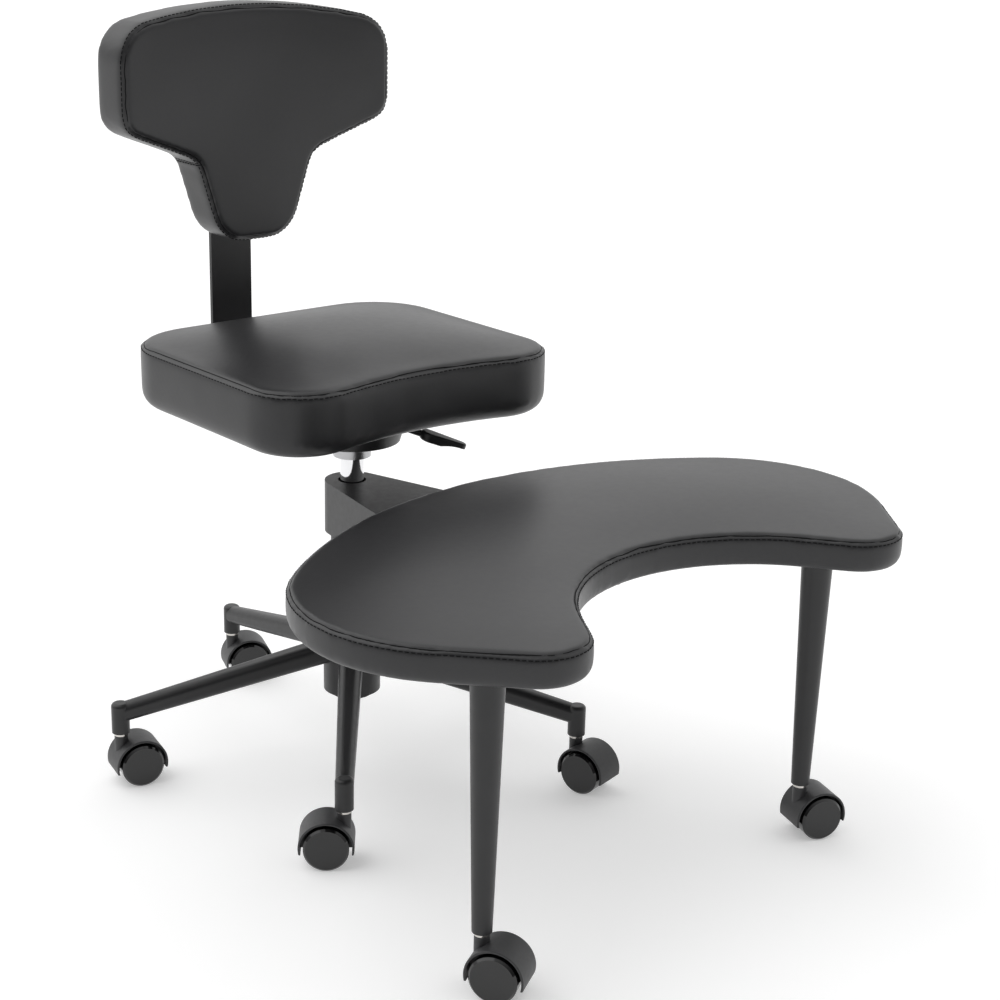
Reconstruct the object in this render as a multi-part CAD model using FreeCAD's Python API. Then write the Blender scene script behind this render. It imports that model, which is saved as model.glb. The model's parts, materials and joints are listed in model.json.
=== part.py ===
"""Cross-legged office chair: a padded seat and a T-shaped back rest on a gas lift and a five-arm
base, with a crescent leg platform that swings round the column on two castered legs of its own.

Frame: origin on the floor under the column, +Z up, the sitter faces -Y and +X is on their left.
Lengths are in millimetres and angles in degrees.
"""

import FreeCAD
import Part

import math
import os

# Clearances
running_clearance = 0.05   # radial, a shaft in the bore that it turns or slides in
face_gap = 0.3             # between faces that turn past each other
stop_gap = 0.5             # left at the end of a travel
shortest_run = 0.01        # below this length, two arcs of an outline simply touch

# Twin-wheel casters
wheel_radius = 25.0
wheel_bevel = 2.2          # chamfer round the flat face of a wheel
wheel_edge = 1.5           # chamfer on the inner rim of a wheel
wheel_face_offset = 23.5   # from the middle of the caster to a wheel's flat face
wheel_side_gap = 0.5       # between a wheel and the hood's middle web
wheel_cover = 3.5          # thickness of the flat face over the blind axle bore
caster_trail = 19.0        # from the stem's axis back to the axle
axle_radius = 3.0
web_half_width = 5.0
hood_half_width = 20.5
hood_well_radius = 28.5
hood_wall = 2.2
hood_skirt = 7.0           # how far the hood's skin reaches below the axle
web_drop = 5.5             # how far the middle web reaches below the axle
hood_rim_round = 1.0
neck_radius = 7.8
neck_top = 60.0
spigot_radius = 3.4
spigot_length = 26.0
collar_radius = 8.0
collar_height = 3.4
stem_radius = 5.5
stem_length = 32.0

# Five-arm base
arm_count = 5
stem_circle = 280.0        # radius of the circle of caster stems
first_arm_angle = -38.0    # from straight ahead towards the sitter's left, as the base stands
arm_root_width = 30.0
arm_root_height = 28.6
arm_tip_width = 20.0
arm_tip_height = 23.0
arm_edge_radius = 9.0
arm_root_below_hub = 12.0  # from the hub's rim down to the arm's middle line, on the column's axis
arm_fall = 55.0            # drop of that line from the axis to the stem
socket_radius = 10.4
socket_height = 37.0
socket_round = 4.5
hub_radius = 34.0
hub_top = 155.0
hub_height = 70.0
hub_round = 5.0

# Gas lift
column_radius = 25.0
column_wall = 1.8
column_floor = 4.0
column_below_hub = 6.0
lift_radius = 14.0         # chromed pressure tube
lift_wall = 2.0
lift_seal_length = 14.0
lift_valve_length = 20.0
lift_taper = 1.0           # loss of radius over the length of the taper socket
lift_up = 95.0             # travel above the height at rest
lift_down = 15.0           # travel below it
rod_radius = 5.0
rod_tail_radius = 4.0
rod_collar_radius = 9.0
rod_collar_height = 3.0
piston_height = 14.0
bearing_radius = 13.0
bearing_height = 6.0
buffer_radius = 11.0
buffer_height = 10.0
clip_radius = 6.5
clip_height = 1.4
clip_depth = 1.0           # depth of the groove that holds the clip
rod_tail_below_clip = 2.0
guide_length = 70.0
valve_radius = 2.5
valve_height = 6.2         # how far the pin stands above the tube
valve_depth = 8.0
valve_travel = 5.0

# Swing arm of the platform
strap_thickness = 4.0
strap_height = 62.0
strap_half_angle = 13.3
strap_reach = 330.0        # from the column's axis to the strap's open ends
plate_thickness = 4.0
plate_hole_radius = 16.5
sleeve_wall = 1.5
bush_wall = 1.45
bush_length = 16.0
bush_flange = 4.0
arm_screw_rows = (205.0, 300.0)
arm_screw_edge = 24.0      # from a screw's axis to the strap's inner face

# Crescent platform
platform_underside = 348.0
platform_thickness = 42.0
platform_swing = 3.0       # how far it stands swung towards the sitter's left
platform_back = 174.0      # from the column's axis to the middle of the back edge
platform_half_width = 368.0
platform_side_radius = 162.0
platform_side_ahead = 408.0
platform_tip_ahead = 546.0
platform_tip_apart = 233.0
platform_tip_radius = 52.0
platform_bay_radius = 199.0
platform_bay_ahead = 450.0  # from the column's axis to the deepest point of the bay
platform_top_round = 10.0
platform_bottom_round = 11.0
platform_board_thickness = 15.0
board_inset = 24.0         # how far the boards lie inside the upholstery's outline
leg_ahead = 495.0
leg_apart = 244.0
leg_top_radius = 17.5
leg_foot_radius = 10.25
leg_wall = 2.0
leg_plate_radius = 38.0
leg_plate_thickness = 4.0
leg_plate_hole = 8.0
leg_screw_circle = 28.0
leg_screw_count = 4

# Fasteners
screw_radius = 3.0
screw_head_radius = 6.0
screw_head_height = 3.2
screw_bite = 11.0          # how far a screw reaches into its board
bolt_radius = 4.0
bolt_head_radius = 7.5
bolt_head_height = 4.6

# Seat
seat_underside = 434.0
seat_thickness = 86.0
seat_half_width = 199.0
seat_back = 192.0
seat_back_corner = 82.0
seat_front = 151.0
seat_lobe_radius = 67.0
seat_valley = 17.0         # how far the middle of the front edge lies behind its two lobes
seat_top_round = 18.0
seat_bottom_round = 20.0
seat_board_thickness = 12.0

# Seat plate with its taper socket
pan_top_radius = 66.0
pan_floor_radius = 56.0
pan_depth = 36.0
pan_sheet = 3.0
pan_wall_reach = 3 * pan_sheet  # from the pan's floor to inside its sloping wall
flange_half_width = 95.0
flange_half_depth = 90.0
flange_corner = 18.0
seat_bolt_x = 80.0
seat_bolt_y = 74.0
socket_outer_radius = 22.0
taper_length = 30.0
taper_below_pan = 20.0

# Height lever
lever_angle = 57.0         # from straight ahead towards the sitter's left
lever_droop = 20.0
lever_rod_radius = 4.0
lever_inner_reach = 4.0    # past the valve pin
lever_pivot_reach = 30.0
lever_bend_reach = 37.0
lever_rod_length = 66.0    # sloping stretch of the rod
lever_pin_radius = 2.0
lever_pin_half_length = 8.5
ear_gap = 0.5
ear_thickness = 3.0
ear_half_width = 6.0
ear_margin = 4.5           # sheet above the pivot's axis
lever_slot_width = 14.0
lever_slot_height = 22.0
handle_root_radius = 11.0
handle_tip_radius = 6.5
handle_length = 38.0       # between the centres of its two round ends
handle_thickness = 11.0
handle_scoop_radius = 60.0
handle_scoop_depth = 5.0
handle_round = 2.0
handle_grip = 20.0         # how far the rod reaches into the handle

# Back bar and back rest
bar_width = 57.0
bar_thickness = 5.0
bar_face = 249.0           # front face of the upright, behind the column's axis
bar_bend_radius = 12.0
bar_under_seat = 146.0     # length of the flat foot
bar_top = 800.0
bar_corner = 12.0
bar_bolt_pitch = 36.0
bar_bolt_first = 22.0      # from the foot's end to its first bolt
bar_foot_bolts = 3
rest_bolt_heights = (655.0, 700.0, 745.0, 790.0)
rest_bottom = 600.0
rest_top = 876.0
rest_half_width = 186.0
rest_shoulder_radius = 45.0
rest_shoulder_height = 817.0
rest_wing_radius = 28.0
rest_wing_height = 760.0
rest_armpit_radius = 30.0
rest_armpit_apart = 106.0
rest_armpit_height = 678.0
rest_foot_radius = 46.0
rest_foot_apart = 16.0
rest_thickness = 68.0
rest_curve_radius = 1072.0  # of the front face in plan, hollow towards the sitter
rest_front_round = 16.0
rest_back_round = 8.0
rest_board_thickness = 10.0

# Which way each caster trails as the chair stands, from +X towards +Y
base_caster_trails = (142.0, -76.0, -30.0, -21.0, -13.0)
platform_caster_trails = (-19.0, -59.0)

# Heights and radii that follow from the sizes above
socket_bottom = neck_top + face_gap + collar_height
hub_bottom = hub_top - hub_height
column_bottom = hub_bottom - column_below_hub
column_bore = column_radius - column_wall
plate_bottom = platform_underside - plate_thickness
column_top = plate_bottom - bush_flange
bearing_top = column_bottom + column_floor + bearing_height
buffer_top = bearing_top + rod_collar_height + buffer_height
lift_bottom = buffer_top + stop_gap + lift_down
lift_chamber_floor = lift_bottom + lift_seal_length
piston_bottom = lift_chamber_floor + lift_up + stop_gap
bush_bore = column_radius + running_clearance
sleeve_bore = bush_bore + bush_wall
strap_bore = sleeve_bore + sleeve_wall
strap_radius = strap_bore + strap_thickness
pan_floor = seat_underside - pan_depth
taper_bottom = pan_floor - taper_below_pan
taper_top = taper_bottom + taper_length
lift_top = taper_top
valve_top = lift_top + valve_height
lever_height = valve_top + face_gap + lever_rod_radius
hood_radius = hood_well_radius + hood_wall
seat_top = seat_underside + seat_thickness
platform_top = platform_underside + platform_thickness
rest_back_radius = rest_curve_radius + rest_thickness
rest_centre = bar_face - rest_back_radius

UP = FreeCAD.Vector(0, 0, 1)
ALONG_X = FreeCAD.Vector(1, 0, 0)
ALONG_Y = FreeCAD.Vector(0, 1, 0)
ALL_AXES = FreeCAD.Vector(1, 1, 1)  # a third of a turn about it takes X to Y and Y to Z
ORIGIN = FreeCAD.Vector(0, 0, 0)


def at(x, y, z=0.0):
    """A point or a step."""
    return FreeCAD.Vector(x, y, z)


def heading(angle, reach):
    """The level step of that reach, at an angle from straight ahead towards the sitter's left."""
    turn = math.radians(angle)
    return at(reach * math.sin(turn), -reach * math.cos(turn))


def rod(radius, start, end):
    """A round bar between two points."""
    return Part.makeCylinder(radius, (end - start).Length, start, end - start)


def ring(outer, inner, low, high):
    """An upright ring about the column's axis."""
    return rod(outer, at(0, 0, low), at(0, 0, high)).cut(rod(inner, at(0, 0, low), at(0, 0, high)))


def block(low, high):
    """A box between two corners."""
    size = high - low
    return Part.makeBox(size.x, size.y, size.z, low)


def turned(profile):
    """A solid of revolution about the column's axis, from its (radius, height) corners."""
    corners = [at(radius, 0, height) for radius, height in profile]
    return Part.Face(Part.makePolygon(corners + corners[:1])).revolve(ORIGIN, UP, 360)


def joined(shapes):
    """One solid from pieces that meet or overlap."""
    return shapes[0].multiFuse(shapes[1:]).removeSplitter()


def belt(circles):
    """The closed outline, in plan, of a belt that runs anticlockwise round circles (x, y, radius).

    A negative radius is a hollow that the belt runs round the other way, and 0 is a sharp corner.
    """
    runs = []
    for (ax, ay, ar), (bx, by, br) in zip(circles, circles[1:] + circles[:1]):
        lean = (br - ar) / math.hypot(bx - ax, by - ay)
        aim = math.atan2(by - ay, bx - ax) - math.asin(max(-1.0, min(1.0, lean)))
        side = at(math.sin(aim), -math.cos(aim))
        start, end = at(ax, ay) + side * ar, at(bx, by) + side * br
        touching = (end - start).Length < shortest_run
        runs.append(((start + end) / 2,) * 2 if touching else (start, end))
    edges = []
    for index, (x, y, radius) in enumerate(circles):
        arrive, leave = runs[index - 1][1], runs[index][0]
        if radius:
            first = math.atan2(arrive.y - y, arrive.x - x)
            last = math.atan2(leave.y - y, leave.x - x)
            way = math.copysign(1.0, radius)
            middle = first + way * ((way * (last - first)) % (2 * math.pi)) / 2
            top = at(x + abs(radius) * math.cos(middle), y + abs(radius) * math.sin(middle))
            edges.append(Part.Arc(arrive, top, leave).toShape())
        if runs[index][1] != leave:
            edges.append(Part.LineSegment(leave, runs[index][1]).toShape())
    return Part.Wire(edges)


def inset(circles, depth):
    """The same belt drawn in all round."""
    return [(x, y, radius - depth) for x, y, radius in circles]


def mirrored_belt(centre_first, left_half, centre_last):
    """Circles of a belt that is the same on both sides of x = 0, from its left half."""
    right_half = [(-x, y, radius) for x, y, radius in reversed(left_half)]
    return centre_first + left_half + centre_last + right_half


def slab(circles, low, high):
    """An upright prism on a belt outline."""
    wire = belt(circles)
    wire.translate(at(0, 0, low))
    return Part.Face(wire).extrude(at(0, 0, high - low))


def edges_at(shape, test):
    """The edges whose every corner and midpoint pass a test."""
    found = []
    for edge in shape.Edges:
        points = [vertex.Point for vertex in edge.Vertexes] + [edge.valueAt(edge.FirstParameter)]
        points.append(edge.valueAt((edge.FirstParameter + edge.LastParameter) / 2))
        if all(test(point) for point in points):
            found.append(edge)
    return found


def rounded_at_height(shape, height, radius):
    """Rounds the edges that lie at one height."""
    return shape.makeFillet(radius, edges_at(shape, lambda p: abs(p.z - height) < 1e-4))


def placed_caster(shape, stem, trail):
    """A piece of a caster, drawn with its stem on the column's axis and trailing along +Y, in its place."""
    moved = shape.copy()
    moved.rotate(ORIGIN, UP, trail - 90)
    moved.translate(stem)
    return moved


def swung(shape):
    """A piece of the platform, drawn straight ahead, at the angle where it stands."""
    moved = shape.copy()
    moved.rotate(ORIGIN, UP, platform_swing)
    return moved


def platform_leg_feet():
    """Where the platform's two legs stand, before it is swung: left, then right."""
    return [at(leg_apart, -leg_ahead), at(-leg_apart, -leg_ahead)]


def caster_places():
    """The stem's place and the trail of each caster: those of the base, then those of the platform."""
    pitch = 360 / arm_count
    stems = [heading(first_arm_angle + index * pitch, stem_circle) for index in range(arm_count)]
    feet = [FreeCAD.Rotation(UP, platform_swing).multVec(foot) for foot in platform_leg_feet()]
    return list(zip(stems + feet, base_caster_trails + platform_caster_trails))


def caster_hood():
    """Half-round cover over both wheels, with the web that holds the axle and the neck round the stem."""
    axle = at(0, caster_trail, wheel_radius)
    side = at(hood_half_width, 0, 0)
    body = rod(hood_radius, axle - side, axle + side)
    rims = edges_at(body, lambda p: abs(abs(p.x) - hood_half_width) < 1e-4)
    body = body.makeFillet(hood_rim_round, [edge for edge in rims if edge.Length > hood_radius])
    body = body.fuse(rod(neck_radius, at(0, 0, wheel_radius), at(0, 0, neck_top)))
    for way in (-1, 1):
        well_start = axle + at(way * web_half_width, 0, 0)
        body = body.cut(rod(hood_well_radius, well_start, axle + side * (2 * way)))
    reach = hood_radius + caster_trail
    under_skirt = block(at(-reach, -reach, -reach), at(reach, 2 * reach, wheel_radius - hood_skirt))
    under_web = rod(hood_well_radius, axle - side, axle + side)
    web_cut = block(at(-reach, -reach, -reach), at(reach, 2 * reach, wheel_radius - web_drop))
    body = body.cut(under_skirt).cut(under_web.common(web_cut))
    spigot_end = neck_top - spigot_length - stop_gap
    bore = rod(spigot_radius + running_clearance, at(0, 0, spigot_end), at(0, 0, neck_top))
    return body.cut(bore).cut(rod(axle_radius, axle - side, axle + side)).removeSplitter()


def caster_axle():
    """Steel pin through the web that carries both wheels."""
    end = at(wheel_face_offset - wheel_cover - stop_gap, 0, 0)
    middle = at(0, caster_trail, wheel_radius)
    return rod(axle_radius, middle - end, middle + end)


def caster_wheel(way):
    """One wheel with a bevelled outer face and a blind bore; way is 1 for the +X wheel, -1 for the other."""
    inner = web_half_width + wheel_side_gap
    bore = axle_radius + running_clearance
    bore_end = wheel_face_offset - wheel_cover
    profile = [
        (inner, bore), (inner, wheel_radius - wheel_edge), (inner + wheel_edge, wheel_radius),
        (wheel_face_offset - wheel_bevel, wheel_radius), (wheel_face_offset, wheel_radius - wheel_bevel),
        (wheel_face_offset, 0), (bore_end, 0), (bore_end, bore),
    ]
    corners = [at(way * along, radius, 0) for along, radius in profile]
    wheel = Part.Face(Part.makePolygon(corners + corners[:1])).revolve(ORIGIN, ALONG_X, 360)
    wheel.translate(at(0, caster_trail, wheel_radius))
    return wheel


def caster_stem():
    """Pressed-in stem: shank in the leg, bright collar under it, spigot in the hood's neck."""
    collar_bottom = neck_top + face_gap
    return turned([
        (0, neck_top - spigot_length), (spigot_radius, neck_top - spigot_length),
        (spigot_radius, collar_bottom), (collar_radius, collar_bottom), (collar_radius, socket_bottom),
        (stem_radius, socket_bottom), (stem_radius, socket_bottom + stem_length),
        (0, socket_bottom + stem_length),
    ])


def arm_section(reach, width, height, middle):
    """Rounded section of a base arm that points along +X."""
    side = width / 2 - arm_edge_radius
    rise = height / 2 - arm_edge_radius
    outline = belt(mirrored_belt([], [(-side, rise, arm_edge_radius), (-side, -rise, arm_edge_radius)], []))
    outline.rotate(ORIGIN, ALL_AXES, 120)
    outline.translate(at(reach, 0, middle))
    return outline


def star_base():
    """Cast five-arm base: a hub for the column, tapered arms and an upright stem socket at each tip."""
    root_middle = hub_top - arm_root_below_hub
    root = arm_section(0, arm_root_width, arm_root_height, root_middle)
    tip = arm_section(stem_circle, arm_tip_width, arm_tip_height, root_middle - arm_fall)
    arm = Part.makeLoft([root, tip], True, True)
    socket_end = at(stem_circle, 0, socket_bottom)
    socket = rod(socket_radius, socket_end, socket_end + UP * socket_height)
    socket = rounded_at_height(socket, socket_bottom + socket_height, socket_round)
    hub = rounded_at_height(rod(hub_radius, at(0, 0, hub_bottom), at(0, 0, hub_top)), hub_top, hub_round)
    shapes = [hub]
    bores = [rod(column_radius, at(0, 0, column_bottom), at(0, 0, column_top))]
    for index in range(arm_count):
        angle = first_arm_angle + index * 360 / arm_count
        for piece in (arm, socket):
            turned_piece = piece.copy()
            turned_piece.rotate(ORIGIN, UP, angle - 90)
            shapes.append(turned_piece)
        foot = heading(angle, stem_circle) + at(0, 0, socket_bottom)
        bores.append(rod(stem_radius, foot, foot + UP * stem_length))
    return joined(shapes).cut(Part.makeCompound(bores))


def column_tube():
    """Outer tube of the gas lift, closed below by a floor with a hole for the rod's tail."""
    hole = rod_tail_radius + running_clearance
    return turned([
        (hole, column_bottom), (column_radius, column_bottom), (column_radius, column_top),
        (column_bore, column_top), (column_bore, column_bottom + column_floor),
        (hole, column_bottom + column_floor),
    ])


def piston_rod():
    """Rod of the lift: a tail held under the tube's floor, a collar on the thrust bearing and a long stem."""
    clip_top = column_bottom - face_gap
    clip_bottom = clip_top - clip_height
    groove = rod_tail_radius - clip_depth
    collar_top = bearing_top + rod_collar_height
    return turned([
        (0, clip_bottom - rod_tail_below_clip), (rod_tail_radius, clip_bottom - rod_tail_below_clip),
        (rod_tail_radius, clip_bottom), (groove, clip_bottom),
        (groove, clip_top), (rod_tail_radius, clip_top),
        (rod_tail_radius, bearing_top), (rod_collar_radius, bearing_top), (rod_collar_radius, collar_top),
        (rod_radius, collar_top), (rod_radius, piston_bottom), (rod_tail_radius, piston_bottom),
        (rod_tail_radius, piston_bottom + piston_height), (0, piston_bottom + piston_height),
    ])


def retaining_clip():
    """Open spring clip in the groove of the rod's tail."""
    clip_top = column_bottom - face_gap
    clip = ring(clip_radius, rod_tail_radius - clip_depth, clip_top - clip_height, clip_top)
    half = rod_tail_radius - clip_depth
    return clip.cut(block(at(0, -half, clip_top - clip_height), at(clip_radius, half, clip_top)))


def pressure_tube():
    """Chromed tube under the seat: sealed round the rod below, tapered and holding the valve above."""
    bore = lift_radius - lift_wall
    seal = rod_radius + running_clearance
    chamber_top = lift_top - lift_valve_length
    pin_bore = valve_radius + running_clearance
    pin_floor = lift_top - valve_depth - valve_travel - stop_gap
    return turned([
        (seal, lift_bottom), (lift_radius, lift_bottom), (lift_radius, taper_bottom),
        (lift_radius - lift_taper, lift_top), (pin_bore, lift_top), (pin_bore, pin_floor), (0, pin_floor),
        (0, chamber_top), (bore, chamber_top), (bore, lift_chamber_floor), (seal, lift_chamber_floor),
    ])


def taper_socket():
    """Turned socket, welded through the floor of the seat plate, that grips the top of the lift."""
    return turned([
        (lift_radius, taper_bottom), (socket_outer_radius, taper_bottom), (socket_outer_radius, taper_top),
        (lift_radius - lift_taper, taper_top),
    ])


def seat_bolt_places():
    """Where the seat plate is bolted to the board."""
    return [at(x, y) for x in (-seat_bolt_x, seat_bolt_x) for y in (-seat_bolt_y, seat_bolt_y)]


def bar_foot_end():
    """Front end of the back bar's foot, behind the column's axis."""
    return bar_face - bar_under_seat


def bar_bolt_places():
    """Where the foot of the back bar is bolted to the board."""
    first = bar_foot_end() + bar_bolt_first
    return [at(0, first + index * bar_bolt_pitch) for index in range(bar_foot_bolts)]


def in_lever_frame(shape):
    """Turns a piece drawn along +X to the lever's own direction."""
    moved = shape.copy()
    moved.rotate(ORIGIN, UP, lever_angle - 90)
    return moved


def seat_plate():
    """Pressed plate under the seat: flange, round pan, ears for the lever's pivot and a slot in the wall."""
    flange_low = seat_underside - pan_sheet
    corners = [(x, y, flange_corner) for x, y in (
        (flange_half_width - flange_corner, flange_half_depth - flange_corner),
        (flange_corner - flange_half_width, flange_half_depth - flange_corner),
        (flange_corner - flange_half_width, flange_corner - flange_half_depth),
        (flange_half_width - flange_corner, flange_corner - flange_half_depth),
    )]
    mouth = rod(pan_top_radius - pan_sheet, at(0, 0, flange_low), at(0, 0, seat_underside))
    flange = slab(corners, flange_low, seat_underside).cut(mouth)
    pan = turned([
        (socket_outer_radius, pan_floor), (pan_floor_radius, pan_floor), (pan_top_radius, flange_low),
        (pan_top_radius, seat_underside), (pan_top_radius - pan_sheet, seat_underside),
        (pan_top_radius - pan_sheet, flange_low), (pan_floor_radius - pan_sheet, pan_floor + pan_sheet),
        (socket_outer_radius, pan_floor + pan_sheet),
    ])
    plate = joined([flange, pan])
    ear_inside = lever_rod_radius + ear_gap
    pivot = at(lever_pivot_reach, 0, lever_height)
    for way in (-1, 1):
        ear_y = sorted((way * ear_inside, way * (ear_inside + ear_thickness)))
        ear = block(
            at(pivot.x - ear_half_width, ear_y[0], pan_floor + pan_sheet),
            at(pivot.x + ear_half_width, ear_y[1], lever_height + ear_margin),
        )
        plate = plate.fuse(in_lever_frame(ear))
    reach = at(0, lever_pin_half_length + ear_thickness, 0)
    pivot_hole = rod(lever_pin_radius + running_clearance, pivot - reach, pivot + reach)
    slot = block(
        at(pan_floor_radius - pan_wall_reach, -lever_slot_width / 2, pan_floor + pan_sheet),
        at(pan_top_radius + pan_sheet, lever_slot_width / 2, pan_floor + pan_sheet + lever_slot_height),
    )
    plate = plate.cut(in_lever_frame(pivot_hole)).cut(in_lever_frame(slot))
    for place in seat_bolt_places():
        plate = plate.cut(rod(bolt_radius, place + UP * flange_low, place + UP * seat_underside))
    return plate.removeSplitter()


def seat_circles():
    """Circles of the seat's outline: rounded corners behind, two lobes in front and a shallow hollow."""
    lobe_x = seat_half_width - seat_lobe_radius
    lobe_y = seat_lobe_radius - seat_front
    rise = seat_lobe_radius - seat_valley
    hollow = (lobe_x ** 2 + rise ** 2 - seat_lobe_radius ** 2) / (2 * (seat_lobe_radius - rise))
    left = [
        (seat_back_corner - seat_half_width, seat_back - seat_back_corner, seat_back_corner),
        (-lobe_x, lobe_y, seat_lobe_radius),
    ]
    return mirrored_belt([], left, [(0, seat_valley - seat_front - hollow, -hollow)])


def seat_board():
    """Plywood board under the foam, drilled for its bolts."""
    board = slab(inset(seat_circles(), board_inset), seat_underside, seat_underside + seat_board_thickness)
    for place in seat_bolt_places() + bar_bolt_places():
        board = board.cut(rod(bolt_radius, place + UP * seat_underside, place + UP * seat_top))
    return board


def upholstered(circles, low, high, top_round, bottom_round, board_thickness):
    """A padded slab with rounded edges, wrapped round a board let into its underside."""
    pad = rounded_at_height(slab(circles, low, high), high, top_round)
    pad = rounded_at_height(pad, low, bottom_round)
    return pad.cut(slab(inset(circles, board_inset), low, low + board_thickness))


def fastener(place, under_head, end, shank_radius, head_radius, head_height):
    """Bolt or screw that stands up through a plate, from under its bevelled head to its end."""
    head_low = under_head - head_height
    upright = turned([
        (0, head_low), (head_radius - head_height / 2, head_low),
        (head_radius, under_head - head_height / 2),
        (head_radius, under_head), (shank_radius, under_head), (shank_radius, end), (0, end),
    ])
    upright.translate(place)
    return upright


def bolt(place, under_head, end):
    """Bolt of the seat or of the back rest."""
    return fastener(place, under_head, end, bolt_radius, bolt_head_radius, bolt_head_height)


def seat_bolts():
    """Bolts that hold the seat plate to the board."""
    end = seat_underside + seat_board_thickness
    return Part.makeCompound([bolt(place, seat_underside - pan_sheet, end) for place in seat_bolt_places()])


def rest_bolt(height):
    """Bolt through the back bar into the back rest's board."""
    upright = bolt(ORIGIN, 0, bar_thickness + rest_board_thickness)
    upright.rotate(ORIGIN, ALONG_X, 90)
    upright.translate(at(0, bar_face + bar_thickness, height))
    return upright


def back_bar_bolts():
    """Bolts that hold the back bar to the seat board and to the back rest."""
    end = seat_underside + seat_board_thickness
    foot = [bolt(place, seat_underside - bar_thickness, end) for place in bar_bolt_places()]
    return Part.makeCompound(foot + [rest_bolt(height) for height in rest_bolt_heights])


def back_bar():
    """Flat steel bar, bent up from a foot under the seat to an upright behind the back rest."""
    bend_y = bar_face - bar_bend_radius
    bend_z = seat_underside + bar_bend_radius
    outer = bar_bend_radius + bar_thickness
    half = math.sqrt(0.5)
    low = seat_underside - bar_thickness
    rear = bar_face + bar_thickness
    edges = [
        Part.LineSegment(at(0, bar_foot_end(), low), at(0, bend_y, low)),
        Part.Arc(
            at(0, bend_y, low), at(0, bend_y + outer * half, bend_z - outer * half), at(0, rear, bend_z)
        ),
        Part.LineSegment(at(0, rear, bend_z), at(0, rear, bar_top)),
        Part.LineSegment(at(0, rear, bar_top), at(0, bar_face, bar_top)),
        Part.LineSegment(at(0, bar_face, bar_top), at(0, bar_face, bend_z)),
        Part.Arc(
            at(0, bar_face, bend_z),
            at(0, bend_y + bar_bend_radius * half, bend_z - bar_bend_radius * half),
            at(0, bend_y, seat_underside),
        ),
        Part.LineSegment(at(0, bend_y, seat_underside), at(0, bar_foot_end(), seat_underside)),
        Part.LineSegment(at(0, bar_foot_end(), seat_underside), at(0, bar_foot_end(), low)),
    ]
    wire = Part.Wire([edge.toShape() for edge in edges])
    wire.translate(at(-bar_width / 2, 0, 0))
    bar = Part.Face(wire).extrude(at(bar_width, 0, 0))

    def end_corner(point):
        on_side = abs(abs(point.x) - bar_width / 2) < 1e-4
        return on_side and (abs(point.z - bar_top) < 1e-4 or abs(point.y - bar_foot_end()) < 1e-4)

    bar = bar.makeFillet(bar_corner, edges_at(bar, end_corner))
    for place in bar_bolt_places():
        bar = bar.cut(rod(bolt_radius, place + UP * low, place + UP * seat_underside))
    for height in rest_bolt_heights:
        bar = bar.cut(rod(bolt_radius, at(0, bar_face, height), at(0, rear, height)))
    return bar


def rest_circles():
    """Circles of the T-shaped back rest in front view: arched top, wings, armpits and a rounded foot."""
    shoulder_x = rest_half_width - rest_shoulder_radius
    rise = rest_top - rest_shoulder_height
    arch = (shoulder_x ** 2 + rise ** 2 - rest_shoulder_radius ** 2) / (2 * (rise - rest_shoulder_radius))
    left = [
        (-shoulder_x, rest_shoulder_height, rest_shoulder_radius),
        (rest_wing_radius - rest_half_width, rest_wing_height, rest_wing_radius),
        (-rest_armpit_apart, rest_armpit_height, -rest_armpit_radius),
        (-rest_foot_apart, rest_bottom + rest_foot_radius, rest_foot_radius),
    ]
    return mirrored_belt([(0, rest_top - arch, arch)], left, [])


def rest_layer(circles, front_radius, back_radius):
    """The part of the back rest between two curved faces, given by their radii in plan."""
    depth = back_radius + rest_half_width
    prism = slab(circles, 0, depth)
    prism.rotate(ORIGIN, ALONG_X, 90)
    prism.translate(at(0, depth, 0))
    foot = at(0, rest_centre, rest_bottom - rest_foot_radius)
    head = at(0, rest_centre, rest_top + rest_foot_radius)
    return prism.common(rod(back_radius, foot, head)).cut(rod(front_radius, foot, head))


def backrest_board():
    """Curved plywood board of the back rest, drilled for the bar's bolts."""
    board = rest_layer(
        inset(rest_circles(), board_inset), rest_back_radius - rest_board_thickness, rest_back_radius
    )
    front = bar_face - rest_board_thickness
    for height in rest_bolt_heights:
        board = board.cut(rod(bolt_radius, at(0, front, height), at(0, bar_face, height)))
    return board


def backrest_cushion():
    """Curved T-shaped pad with rounded edges, wrapped round its board."""
    pad = rest_layer(rest_circles(), rest_curve_radius, rest_back_radius)

    def on_face(radius):
        return edges_at(pad, lambda p: abs(math.hypot(p.x, p.y - rest_centre) - radius) < 1e-3)

    pad = pad.makeFillet(rest_front_round, on_face(rest_curve_radius))
    pad = pad.makeFillet(rest_back_round, on_face(rest_back_radius))
    inner = rest_layer(
        inset(rest_circles(), board_inset), rest_back_radius - rest_board_thickness, rest_back_radius
    )
    return pad.cut(inner)


def sloped(shape):
    """Lays a piece drawn along +X from the lever's bend onto its drooping stretch."""
    moved = shape.copy()
    moved.rotate(ORIGIN, ALONG_Y, lever_droop)
    moved.translate(at(lever_bend_reach, 0, lever_height))
    return in_lever_frame(moved)


def lever_rod():
    """Bent rod that presses the valve pin, with the cross pin that it rocks on."""
    inner_end = at(-lever_inner_reach, 0, lever_height)
    level = rod(lever_rod_radius, inner_end, at(lever_bend_reach, 0, lever_height))
    elbow = Part.makeSphere(lever_rod_radius, at(lever_bend_reach, 0, lever_height))
    reach = at(0, lever_pin_half_length, 0)
    pivot = at(lever_pivot_reach, 0, lever_height)
    cross_pin = rod(lever_pin_radius, pivot - reach, pivot + reach)
    slope = sloped(rod(lever_rod_radius, ORIGIN, at(lever_rod_length, 0, 0)))
    return joined([in_lever_frame(level), in_lever_frame(elbow), in_lever_frame(cross_pin), slope])


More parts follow.
